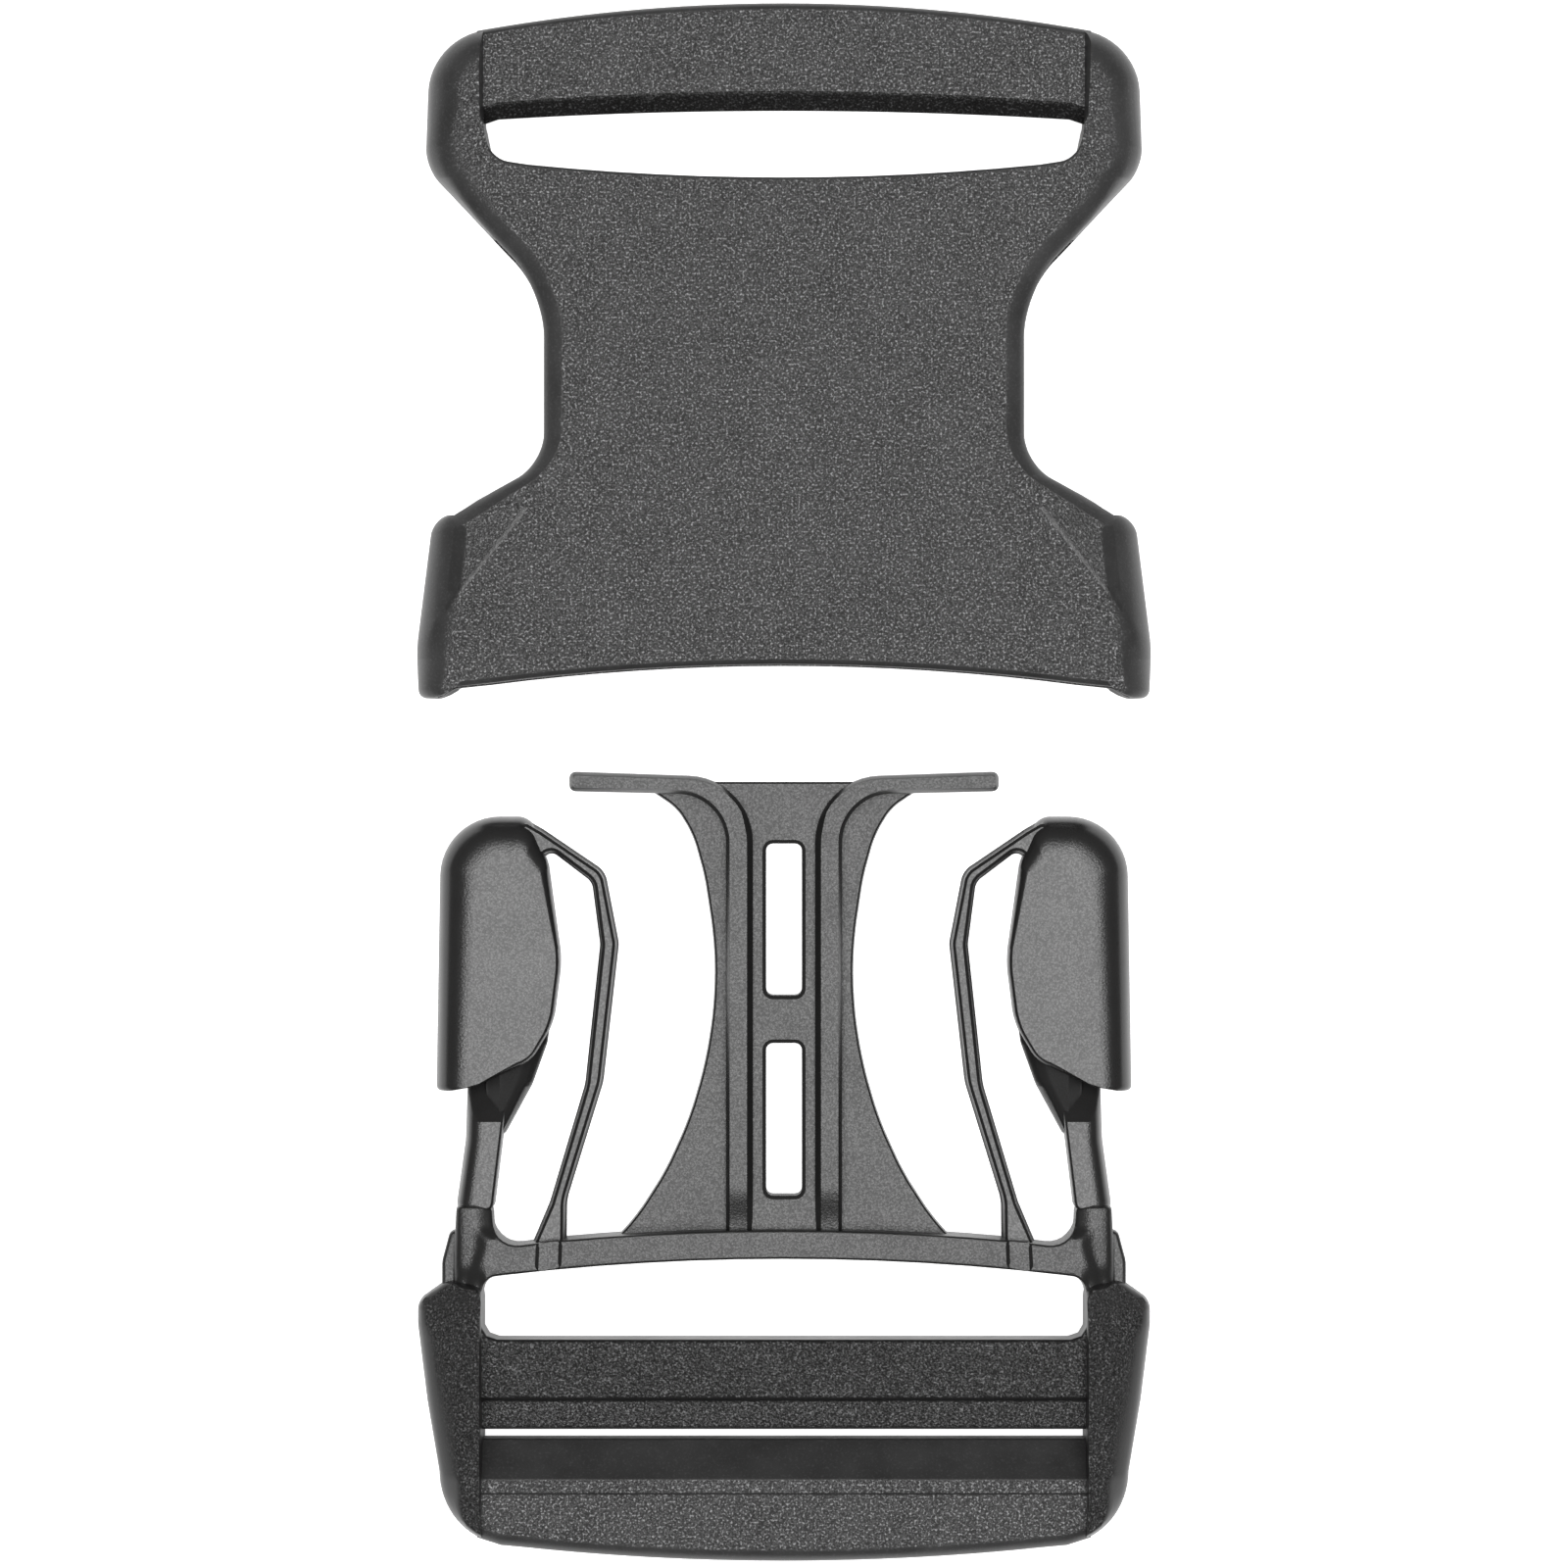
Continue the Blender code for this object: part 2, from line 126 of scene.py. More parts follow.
def traceOutline(name, corners, place):
    # a small plane merged to one vertex, which is then extruded from corner to corner
    pickOnly(None)
    points = [Vector(place(corner[0], corner[1])) * mm for corner in corners]
    bpy.ops.mesh.primitive_plane_add(size=mm, location=(0, 0, 0))
    piece = bpy.context.object
    piece.name = name
    bpy.ops.object.mode_set(mode="EDIT")
    bpy.ops.mesh.select_mode(type="VERT")
    bpy.ops.mesh.select_all(action="SELECT")
    bpy.ops.mesh.merge(type="CENTER")
    bpy.ops.transform.translate(value=points[0])
    for here, there in zip(points, points[1:]):
        bpy.ops.mesh.extrude_region_move(TRANSFORM_OT_translate={"value": there - here})
    bpy.ops.mesh.select_all(action="SELECT")
    bpy.ops.mesh.edge_face_add()
    roundCorners(piece, corners, points)
    bpy.ops.mesh.select_all(action="SELECT")
    return piece


def inwardSteps(points):
    # for each point, the step that moves both of its edges in by one unit, held back where the
    # corner is sharp
    leastShared = 0.6
    pairs = zip([points[-1]] + points, points)
    area = sum(last.x * spot.y - last.y * spot.x for last, spot in pairs)
    side = 1 if area > 0 else -1
    steps = []
    for index, point in enumerate(points):
        before = (point - points[index - 1]).normalized()
        after = (points[(index + 1) % len(points)] - point).normalized()
        first = Vector((-before.y, before.x, 0)) * side
        second = Vector((-after.y, after.x, 0)) * side
        middle = (first + second).normalized()
        steps.append(middle / max(middle.dot(first), leastShared))
    return steps


def mould(name, corners, levels, roll=None, lean=None, shape=None):
    # the upper half is drawn up from the parting plane in steps, each with its draw-in and its
    # share of the lean towards the middle; the lower half is its mirror image
    piece = traceOutline(name, corners, lambda x, y: (x, y, 0))
    cap = bmesh.from_edit_mesh(piece.data).faces[:][0]
    base = [loop.vert.co.copy() for loop in cap.loops]
    inward = inwardSteps(base)
    widths = [roll(spot / mm) if roll else 1 for spot in base]
    leans = [Vector(lean(spot / mm)) if lean else Vector((0, 0)) for spot in base]
    lastHeight = 0
    for height, drawIn, share in levels:
        bpy.ops.mesh.extrude_region_move(
            TRANSFORM_OT_translate={"value": (0, 0, (height - lastHeight) * mm)}
        )
        lastHeight = height
        sheet = bmesh.from_edit_mesh(piece.data)
        cap = next(face for face in sheet.faces if face.select)
        for loop, spot, step, width, reach in zip(cap.loops, base, inward, widths, leans):
            loop.vert.co.x = spot.x + (step.x * drawIn * width - reach.x * share) * mm
            loop.vert.co.y = spot.y + (step.y * drawIn * width - reach.y * share) * mm
    if shape:
        shape(piece)
    sheet = bmesh.from_edit_mesh(piece.data)
    for face in sheet.faces:
        face.select_set(all(abs(vert.co.z) < flush for vert in face.verts))
    bpy.ops.mesh.delete(type="FACE")
    pickOnly(piece)
    bpy.ops.object.modifier_add(type="MIRROR")
    mirror = piece.modifiers[-1]
    mirror.use_axis = (False, False, True)
    mirror.merge_threshold = flush
    bpy.ops.object.modifier_apply(modifier=mirror.name)
    editMesh(piece)
    bpy.ops.mesh.normals_make_consistent(inside=False)
    bpy.ops.transform.translate(value=(0, 0, halfHeight * mm))
    pickOnly(piece)
    return piece


def cutAt(normal, places):
    # cuts the mesh in edit mode at each place along its X or Y
    for place in places:
        bpy.ops.mesh.select_all(action="SELECT")
        bpy.ops.mesh.bisect(plane_co=[share * place * mm for share in normal], plane_no=normal)


def drawBar(name, section, halfLength, steps, shift):
    # a section across the strap's width, drawn from end to end; shift moves each y with its x
    piece = traceOutline(name, section, lambda y, z: (-halfLength, y, z + halfHeight))
    for _ in range(steps):
        bpy.ops.mesh.extrude_region_move(
            TRANSFORM_OT_translate={"value": (2 * halfLength / steps * mm, 0, 0)}
        )
    sheet = editMesh(piece)
    bpy.ops.mesh.normals_make_consistent(inside=False)
    for vert in sheet.verts:
        vert.co.y += shift(vert.co.x / mm, vert.co.y / mm) * mm
    pickOnly(piece)
    return piece


def mirrorPiece(piece):
    # adds the mirror image on the other side of the buckle, as a second closed shell
    pickOnly(piece)
    bpy.ops.object.modifier_add(type="MIRROR")
    mirror = piece.modifiers[-1]
    mirror.use_mirror_merge = False
    bpy.ops.object.modifier_apply(modifier=mirror.name)
    editMesh(piece)
    bpy.ops.mesh.normals_make_consistent(inside=False)
    pickOnly(piece)
    return piece


def combine(body, tool, operation):
    pickOnly(body)
    bpy.ops.object.modifier_add(type="BOOLEAN")
    joint = body.modifiers[-1]
    joint.operation = operation
    joint.solver = "EXACT"
    joint.material_mode = "TRANSFER"
    joint.object = tool
    bpy.ops.object.modifier_apply(modifier=joint.name)
    bpy.data.objects.remove(tool, do_unlink=True)


def paint(piece, material):
    piece.data.materials.clear()
    piece.data.materials.append(material)
    return piece


def finishPiece(piece, nodes):
    editMesh(piece)
    bpy.ops.mesh.remove_doubles(threshold=nearby)
    bpy.ops.mesh.normals_make_consistent(inside=False)
    pickOnly(piece)
    bpy.ops.object.shade_smooth_by_angle(angle=math.radians(smoothAngle))
    bpy.ops.object.modifier_add(type="WEIGHTED_NORMAL")
    flatFaces = piece.modifiers[-1]
    flatFaces.keep_sharp = True
    bpy.ops.object.modifier_apply(modifier=flatFaces.name)
    piece.data.name = piece.name
    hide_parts(*nodes)


def rolledLevels(top, wall, edge, steps=4):
    # a wall drafted by wall up to the rounding, then a quarter round onto the top
    levels = []
    for step in range(steps + 1):
        angle = math.pi / 2 * step / steps
        height = top - edge * (1 - math.sin(angle))
        levels.append((height, wall + edge * (1 - math.cos(angle)), 0))
    return levels


def bevelledLevels(top, wall, edge):
    return [(top - edge * bevelRise, wall, 0), (top, wall + edge, 0)]


def rimmedLevels(top, rim, edge):
    # the same, over a slanted rim beside the parting plane
    slant = [(0.15, rim * 0.4, 0), (0.45, rim, 0)]
    draft = 0.04
    return slant + bevelledLevels(top, rim + draft, edge)


def domedLevels(top, rollHeight):
    # a full half section: the lean follows an ellipse from the parting plane to the top; the rim's
    # roll takes the last part of the height
    levels = []
    for degrees in (14, 26, 36, 45, 53, 60, 67, 73, 79, 85, 90):
        angle = math.radians(degrees)
        height = top * math.sin(angle)
        climb = max(height - top + rollHeight, 0) / rollHeight
        levels.append((height, 1 - math.sqrt(max(1 - climb * climb, 0)), 1 - math.cos(angle)))
    return levels


def shoulderedLevels(top, rollHeight):
    # a wall that bends over late: heights and leans in percent of the whole, then the rim's roll
    bends = ((17, 1), (33, 3), (47, 6), (57, 11), (65, 18), (72, 26), (78, 36), (83, 46), (88, 57))
    bends += ((92, 68), (95.5, 80), (98, 91), (100, 100))
    levels = []
    for height, share in bends:
        climb = max(height / 100 * top - top + rollHeight, 0) / rollHeight
        levels.append((height / 100 * top, climb**2, share / 100))
    return levels


# Materials: one black plastic, with the spark-eroded grain or the satin finish of its mould

def addNode(tree, kind, **values):
    node = tree.nodes.new(kind)
    for key, value in values.items():
        if key in node.inputs:
            node.inputs[key].default_value = value
        else:
            setattr(node, key, value)
    return node


grain = {
    "size": 0.16,                  # mm from grain to grain
    "detail": 3.0,
    "coarseness": 0.62,
    "cellSpread": 0.8,             # the rounded grains are a little larger than the pits
    "cellDepth": -0.55,
    "flecks": (0.55, 0.76),        # noise values where a grain starts to catch the light
    "plainHeight": 0.3,            # height where there is no grain
    "heights": (0.1, 0.5),         # from the bottoms of the pits to the tops of the grains
    "mottle": 0.22,                # cloud patches for each mm
    "mottleDetail": 4.0,
    "mottleContrast": 0.55,
    "mottleTones": (0.3, 0.7),
    "mottleTint": 0.1,
}


def makeGrainGroup():
    # fine pits and grains in mm, with the few grains that catch the light; these are given out as
    # a mask of painted glints
    group = bpy.data.node_groups.new("sparkGrain", "ShaderNodeTree")
    for label, kind in (("Place", "NodeSocketVector"), ("Fineness", "NodeSocketFloat")):
        group.interface.new_socket(label, in_out="INPUT", socket_type=kind)
    for label in ("Height", "PaintedGlint"):
        group.interface.new_socket(label, in_out="OUTPUT", socket_type="NodeSocketFloat")
    ends = addNode(group, "NodeGroupInput"), addNode(group, "NodeGroupOutput")
    inMm = addNode(group, "ShaderNodeVectorMath", operation="SCALE", Scale=1 / mm)
    pits = addNode(group, "ShaderNodeTexNoise")
    pits.inputs["Detail"].default_value = grain["detail"]
    pits.inputs["Roughness"].default_value = grain["coarseness"]
    grains = addNode(group, "ShaderNodeTexVoronoi", feature="F1")
    spread = addNode(group, "ShaderNodeMath", operation="MULTIPLY")
    spread.inputs[1].default_value = grain["cellSpread"]
    blend = addNode(group, "ShaderNodeMath", operation="MULTIPLY_ADD")
    blend.inputs[1].default_value = grain["cellDepth"]
    fleck = addNode(group, "ShaderNodeTexNoise", Detail=1.0)
    flecks = addNode(group, "ShaderNodeMapRange")
    flecks.inputs["From Min"].default_value = grain["flecks"][0]
    flecks.inputs["From Max"].default_value = grain["flecks"][1]
    links = group.links
    links.new(ends[0].outputs["Place"], inMm.inputs[0])
    links.new(ends[0].outputs["Fineness"], pits.inputs["Scale"])
    links.new(ends[0].outputs["Fineness"], spread.inputs[0])
    links.new(spread.outputs[0], grains.inputs["Scale"])
    links.new(spread.outputs[0], fleck.inputs["Scale"])
    for texture in (pits, grains, fleck):
        links.new(inMm.outputs[0], texture.inputs["Vector"])
    links.new(grains.outputs["Distance"], blend.inputs[0])
    links.new(pits.outputs["Fac"], blend.inputs[2])
    links.new(blend.outputs[0], ends[1].inputs["Height"])
    links.new(fleck.outputs["Fac"], flecks.inputs["Value"])
    links.new(flecks.outputs[0], ends[1].inputs["PaintedGlint"])
    return group


def makeMottleGroup():
    # slow changes over several mm: flow of the plastic in the mould and handling
    group = bpy.data.node_groups.new("flowMottle", "ShaderNodeTree")
    for label, kind in (("Place", "NodeSocketVector"), ("Patch", "NodeSocketFloat")):
        group.interface.new_socket(label, in_out="INPUT", socket_type=kind)
    group.interface.new_socket("Tone", in_out="OUTPUT", socket_type="NodeSocketFloat")
    ends = addNode(group, "NodeGroupInput"), addNode(group, "NodeGroupOutput")
    inMm = addNode(group, "ShaderNodeVectorMath", operation="SCALE", Scale=1 / mm)
    cloud = addNode(group, "ShaderNodeTexNoise")
    cloud.inputs["Detail"].default_value = grain["mottleDetail"]
    cloud.inputs["Roughness"].default_value = grain["mottleContrast"]
    group.links.new(ends[0].outputs["Place"], inMm.inputs[0])
    group.links.new(inMm.outputs[0], cloud.inputs["Vector"])
    group.links.new(ends[0].outputs["Patch"], cloud.inputs["Scale"])
    group.links.new(cloud.outputs["Fac"], ends[1].inputs["Tone"])
    return group


# in each finish "light" is the colour of the painted glints on the grain; the mottle also moves
# the colour a little towards it
plastics = {
    "texturedPlastic": {
        "dark": (0.0165, 0.0162, 0.0160),
        "light": (0.340, 0.340, 0.345),
        "rough": (0.36, 0.44),
        "shine": (0.15, 1.0),
        "grainDepth": 0.10,
        "grainSlope": (0.90, 0.985),      # upright share of the normal where the grain starts
        "wallGrain": 0.06,
    },
    # a darker copy of the grained plastic for the shoulders beyond the crease: painted shade
    "shadedShoulderPlastic": {
        "dark": (0.0165, 0.0162, 0.0160),
        "light": (0.220, 0.220, 0.222),
        "rough": (0.34, 0.42),
        "shine": (0.22, 0.92),
        "grainDepth": 0.065,
        "grainSlope": (0.90, 0.985),
        "wallGrain": 0.06,
    },
    # a darker copy of the grained plastic for the rails and the first bar: painted shade on their
    # tilted tops
    "shadedRailPlastic": {
        "dark": (0.0075, 0.0073, 0.0071),
        "light": (0.150, 0.150, 0.152),
        "rough": (0.30, 0.37),
        "shine": (0.08, 0.72),
        "grainDepth": 0.08,
        "grainSlope": (0.66, 0.86),
        "wallGrain": 0.04,
    },
    # a darker copy of the grained plastic for the bar's bevel towards the slot: painted shade
    "shadedBevelPlastic": {
        "dark": (0.0075, 0.0073, 0.0071),
        "light": (0.080, 0.080, 0.081),
        "rough": (0.34, 0.42),
        "shine": (0.06, 0.52),
        "grainDepth": 0.05,
        "grainSlope": (0.60, 0.80),
        "wallGrain": 0.10,
    },
    "framePlastic": {
        "dark": (0.0170, 0.0168, 0.0165),
        "light": (0.026, 0.026, 0.027),
        "rough": (0.29, 0.36),
        "shine": (0.34, 0.70),
        "grainDepth": 0.026,
        "grainSlope": (0.90, 0.985),
        "wallGrain": 0.15,
    },
    "satinPlastic": {
        "dark": (0.0175, 0.0172, 0.0170),
        "light": (0.027, 0.027, 0.028),
        "rough": (0.26, 0.32),
        "shine": (0.44, 0.76),
        "grainDepth": 0.020,
        "grainSlope": (0.90, 0.985),
        "wallGrain": 0.15,
    },
}


def makePlastic(name, grainNodes, mottleNodes):
    values = plastics[name]
    material = bpy.data.materials.new(name)
    material.use_nodes = True
    tree = material.node_tree
    shader = tree.nodes["Principled BSDF"]
    place = addNode(tree, "ShaderNodeTexCoord")
    fine = addNode(tree, "ShaderNodeGroup", node_tree=grainNodes)
    fine.inputs["Fineness"].default_value = 1 / grain["size"]
    slow = addNode(tree, "ShaderNodeGroup", node_tree=mottleNodes)
    slow.inputs["Patch"].default_value = grain["mottle"]
    facing = addNode(tree, "ShaderNodeSeparateXYZ")
    upright = addNode(tree, "ShaderNodeMath", operation="ABSOLUTE")
    level = addNode(tree, "ShaderNodeMapRange", interpolation_type="SMOOTHSTEP")
    level.inputs["From Min"].default_value = values["grainSlope"][0]
    level.inputs["From Max"].default_value = values["grainSlope"][1]
    level.inputs["To Min"].default_value = values["wallGrain"]
    fleck = addNode(tree, "ShaderNodeMath", operation="MULTIPLY")
    grainHeight = addNode(tree, "ShaderNodeMix", data_type="FLOAT")
    grainHeight.inputs["A"].default_value = grain["plainHeight"]
    relief = addNode(tree, "ShaderNodeBump", Strength=1.0, Distance=values["grainDepth"] * mm)
    colour = addNode(tree, "ShaderNodeMix", data_type="RGBA")
    colour.inputs["A"].default_value = (*values["dark"], 1)
    colour.inputs["B"].default_value = (*values["light"], 1)
    mottleAndGlint = addNode(tree, "ShaderNodeMath", operation="MULTIPLY_ADD", use_clamp=True)
    mottleAndGlint.inputs[1].default_value = grain["mottleTint"]
    shine = addNode(tree, "ShaderNodeMapRange")
    shine.inputs["From Min"].default_value = grain["heights"][0]
    shine.inputs["From Max"].default_value = grain["heights"][1]
    shine.inputs["To Min"].default_value = values["shine"][0]
    shine.inputs["To Max"].default_value = values["shine"][1]
    gloss = addNode(tree, "ShaderNodeMapRange")
    gloss.inputs["From Min"].default_value = grain["mottleTones"][0]
    gloss.inputs["From Max"].default_value = grain["mottleTones"][1]
    gloss.inputs["To Min"].default_value = values["rough"][0]
    gloss.inputs["To Max"].default_value = values["rough"][1]
    links = tree.links
    links.new(place.outputs["Object"], fine.inputs["Place"])
    links.new(place.outputs["Object"], slow.inputs["Place"])
    links.new(place.outputs["Normal"], facing.inputs[0])
    links.new(facing.outputs["Z"], upright.inputs[0])
    links.new(upright.outputs[0], level.inputs["Value"])
    links.new(fine.outputs["Height"], grainHeight.inputs["B"])
    links.new(level.outputs[0], grainHeight.inputs["Factor"])
    links.new(grainHeight.outputs["Result"], relief.inputs["Height"])
    links.new(relief.outputs["Normal"], shader.inputs["Normal"])
    # base colour: a little of the slow mottle, and the painted glints of the grain in full,
    # towards the lighter colour
    links.new(slow.outputs["Tone"], mottleAndGlint.inputs[0])
    links.new(fine.outputs["PaintedGlint"], fleck.inputs[0])
    links.new(level.outputs[0], fleck.inputs[1])
    links.new(fleck.outputs[0], mottleAndGlint.inputs[2])
    links.new(mottleAndGlint.outputs[0], colour.inputs["Factor"])
    links.new(colour.outputs["Result"], shader.inputs["Base Color"])
    links.new(slow.outputs["Tone"], gloss.inputs["Value"])
    links.new(gloss.outputs[0], shader.inputs["Roughness"])
    links.new(grainHeight.outputs["Result"], shine.inputs["Value"])
    links.new(shine.outputs[0], shader.inputs["Specular IOR Level"])
    return material


grainGroup = makeGrainGroup()
mottleGroup = makeMottleGroup()
finishes = {name: makePlastic(name, grainGroup, mottleGroup) for name in plastics}
print("materials made:", ", ".join(finishes))


# Socket

socket = {
    "top": socketHigh.y / mm,
    "crownHalf": 25.5,
    "crownSteps": 8,
    "crownDrop": 2.2,      # from the middle of the top edge to the ears
    "earHalf": 31.0,
    "mouthTip": 6.95,
    "mouthHalf": 31.85,
    "mouthMiddle": 10.1,
    "mouthEnd": 8.45,
    "waistHalf": 20.7,
    "plate": 2.0,
    "slotBottom": 52.0,
    "slotFlare": 0.35,
    "earGroove": 1.05,     # how far the ears' walls lean away from the bar
    "barInner": 58.0,
    "barHalfHeight": 3.2,
    "barSlope": 1.55,
    "ringTop": 23.0,
    "hollowEnd": 51.2,
    "windowEdge": 47.2,    # top of the side windows inside the shell
    "pastEdge": 36.0,      # cutters reach out to here
    # the rim's roll: its width, and where along Y one width turns into the next
    "rimRoll": {"mouth": 0.5, "ring": 0.9, "waist": 1.9},
    "rimHeight": 1.4,
    "mouthToRing": (11, 16),
    "ringToWaist": (24.5, 31),
    # leans of the walls, each with the Y and X between which it sets in
    "earLean": 6.5,
    "earFrom": (46.5, 58),
    "earAcross": (20.6, 31.8),
    "earTopLean": 3.4,
    "earTopFrom": (56, 65.5),
    "earTopAcross": (20, 25),
    "ringLean": 3.5,
    "ringFrom": (25, 22),
    "ringAcross": (25.0, 33.5),
    "tipEasing": 0.25,
    "tipFrom": (11, 8),
    # the shoulders: a slanted crease through a point, and the fall beyond it
    "creasePoint": (20.6, 25.3),
    "creaseOutward": (8.43, 6.66),
    "creaseWidth": 0.42,
    "creaseStart": 23.6,
    "creaseEnd": 16.4,
    "shoulderSlope": 0.27,
    "shoulderFrom": (26.2, 24.4),
    "mouthLift": 0.6,
    "mouthLiftFrom": (12, 11),
    "mouthLiftAcross": (30.3, 28.5),
}


def socketPlan():
    values = socket
    half = values["earHalf"]
    top, crownHalf, steps = values["top"], values["crownHalf"], values["crownSteps"]
    right = crown(crownHalf, top, top - values["crownDrop"], steps)
    right += [
        (half - 0.3, 64.4, 5.4),
        (half + 0.1, 53.2, 4.0),
        (28.2, 50.19, 0),
        (26.6, 48.53, 0),
        (25.0, 46.87, 0),
        (values["waistHalf"], 42.4, 10.0),
        (values["waistHalf"], 27.3, 4.4),
        (30.5, 22.4, 1.9),
        (values["mouthHalf"], 11.5, 12.0),
        (31.65, values["mouthTip"], 0.8),
        (29.9, 7.5, 1.2),
        (28.7, 8.15, 1.2),
    ]
    mouth = crown(crownHalf, values["mouthMiddle"], values["mouthEnd"], steps)
    return bothSides(right + list(reversed(mouth)))


def socketRoll(spot):
    mouth, ring, waist = (socket["rimRoll"][place] for place in ("mouth", "ring", "waist"))
    width = mouth + (ring - mouth) * smoothStep(spot.y, *socket["mouthToRing"])
    return width + (waist - ring) * smoothStep(spot.y, *socket["ringToWaist"])


def socketLean(spot):
    def partLean(part):
        along = smoothStep(spot.y, *socket[part + "From"])
        return socket[part + "Lean"] * along * smoothStep(abs(spot.x), *socket[part + "Across"])

    ring = partLean("ring") * (1 - socket["tipEasing"] * smoothStep(spot.y, *socket["tipFrom"]))
    return math.copysign(partLean("ear") + ring, spot.x), partLean("earTop")


def creaseLine(side):
    (x, y), (outX, outY) = socket["creasePoint"], socket["creaseOutward"]
    return Vector((side * x, y, 0)), Vector((side * outX, outY, 0)).normalized()


def shapeTop(piece):
    # beyond a slanted crease at each end of the ring the plate falls away
    upper, lower = socket["shoulderFrom"]
    width = socket["creaseWidth"]
    for side in (-1, 1):
        crease, outward = creaseLine(side)
        rows = (upper, socket["creaseStart"], socket["creaseEnd"])
        cuts = [((0, along, 0), (0, 1, 0)) for along in rows]
        cuts += [(crease, outward), (crease + outward * width, outward)]
        for place, normal in cuts:
            bpy.ops.mesh.select_all(action="SELECT")
            bpy.ops.mesh.bisect(plane_co=Vector(place) * mm, plane_no=normal)
        sheet = bmesh.from_edit_mesh(piece.data)
        for vert in sheet.verts:
            reach = (vert.co / mm - crease).dot(outward)
            if reach > 0.01 and vert.co.y < (upper - 0.05) * mm and vert.co.x * side > 0:
                soft = reach - 0.2 if reach > width - 0.01 else 0.0
                soft *= smoothStep(vert.co.y / mm, upper, lower)
                vert.co.z *= 1 - soft * socket["shoulderSlope"] / halfHeight
    for vert in sheet.verts:
        # a tighter rounding along the mouth
        mouth = smoothStep(vert.co.y / mm, *socket["mouthLiftFrom"])
        mouth *= smoothStep(abs(vert.co.x) / mm, *socket["mouthLiftAcross"])
        if vert.co.z > halfHeight / 2 * mm:
            vert.co.z += (halfHeight * mm - vert.co.z) * socket["mouthLift"] * mouth


def paintShoulders(shell):
    # the mould is worn smooth on the crease; beyond it the grain is shallower, and its specks are
    # darker, which is painted shade on the falling shoulder
    for finish in ("framePlastic", "shadedShoulderPlastic"):
        shell.data.materials.append(finishes[finish])
    for side in (-1, 1):
        crease, outward = creaseLine(side)
        for face in shell.data.polygons:
            reach = (face.center / mm - crease).dot(outward)
            along = face.center.y / mm
            beyond = reach > 0 and face.center.x * side > 0
            if beyond and along < socket["creaseStart"] and abs(face.normal.z) > 0.85:
                onCrease = reach < socket["creaseWidth"] and along > socket["creaseEnd"]
                face.material_index = 1 if onCrease else 2


def socketCutters():
    values = socket
    slotSide = strapHalf + 0.1
    right = [(slotSide, values["top"] + 4, 0), (slotSide, 57.0, 3.0), (25.3, 53.6, 2.2)]
    right += list(reversed(crown(22.0, values["slotBottom"], 53.1, 6)))
    flare = values["slotFlare"]
    rounding = rolledLevels(halfHeight - 0.1, 0, flare)
    slotLevels = [(halfHeight / 2, 0, 0)]
    slotLevels += [(height, -drawIn, 1) for height, drawIn, _ in rounding]
    slotLevels.append((halfHeight + 0.6, -flare, 1))

    def lean(spot):
        beside = smoothStep(spot.y, 56.5, 59) * smoothStep(abs(spot.x), 25, 25.8)
        return math.copysign(values["earGroove"] * beside, -spot.x), 0

    slot = mould("slotCutter", bothSides(right), slotLevels, lean=lean)
    hollow = [
        (19.3, values["hollowEnd"], 0.8),
        (20.6, values["windowEdge"], 0.8),
        (values["pastEdge"], values["windowEdge"], 0),
        (values["pastEdge"], values["ringTop"], 0),
        (28.2, values["ringTop"], 0.3),
        (29.95, 10.5, 0),
        (30.35, 4.0, 0),
    ]
    inside = [(halfHeight - values["plate"], 0, 0)]
    return slot, mould("hollowCutter", bothSides(hollow), inside)


def socketBar():
    # flat on top, with a wide bevel towards the slot and a small round outside
    values = socket
    outer = values["top"] - 0.05
    height = values["barHalfHeight"]
    slope = values["barSlope"]
    section = []
    for level in (-height, height):
        inner = values["barInner"] + (0.4 if level < 0 else 0)
        edge = (inner + slope, level, 1.2)
        wall = (inner, math.copysign(height - slope * 0.8, level), 0.2)
        section += [edge, wall] if level < 0 else [wall, edge]
    section += [(outer, height, 0.9), (outer, -height, 0.9)]

    def shift(x, y):
        share = (y - values["barInner"]) / (outer - values["barInner"])
        corner = 0.35 * max(abs(x) - strapHalf + 0.5, 0) ** 2
        drop = 0.8 + (values["crownDrop"] - 0.8) * share
        return -drop * (x / values["crownHalf"]) ** 2 - corner * (1 - share)

    bar = drawBar("socketBar", section, strapHalf + 0.7, 30, shift)
    paint(bar, finishes["texturedPlastic"])
    # the bevel towards the slot is finer and darker than the top; its darker colour is painted
    # shade along the bevel
    bar.data.materials.append(finishes["shadedBevelPlastic"])
    for face in bar.data.polygons:
        if face.normal.y < -0.3 and abs(face.normal.z) > 0.3:
            face.material_index = 1
    return bar


def buildSocketShell():
    shell = mould(
        "socketShell",
        socketPlan(),
        shoulderedLevels(halfHeight, socket["rimHeight"]),
        socketRoll,
        socketLean,
        shapeTop,
    )
    paint(shell, finishes["texturedPlastic"])
    paintShoulders(shell)
    for cutter in socketCutters():
        combine(shell, paint(cutter, finishes["texturedPlastic"]), "DIFFERENCE")
    combine(shell, socketBar(), "UNION")
    finishPiece(shell, ["socket"])
    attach(shell, "socket")
    return shell


buildSocketShell()
print("socket shell done")


# Plug: guide, cross bar, rails and ladder bars

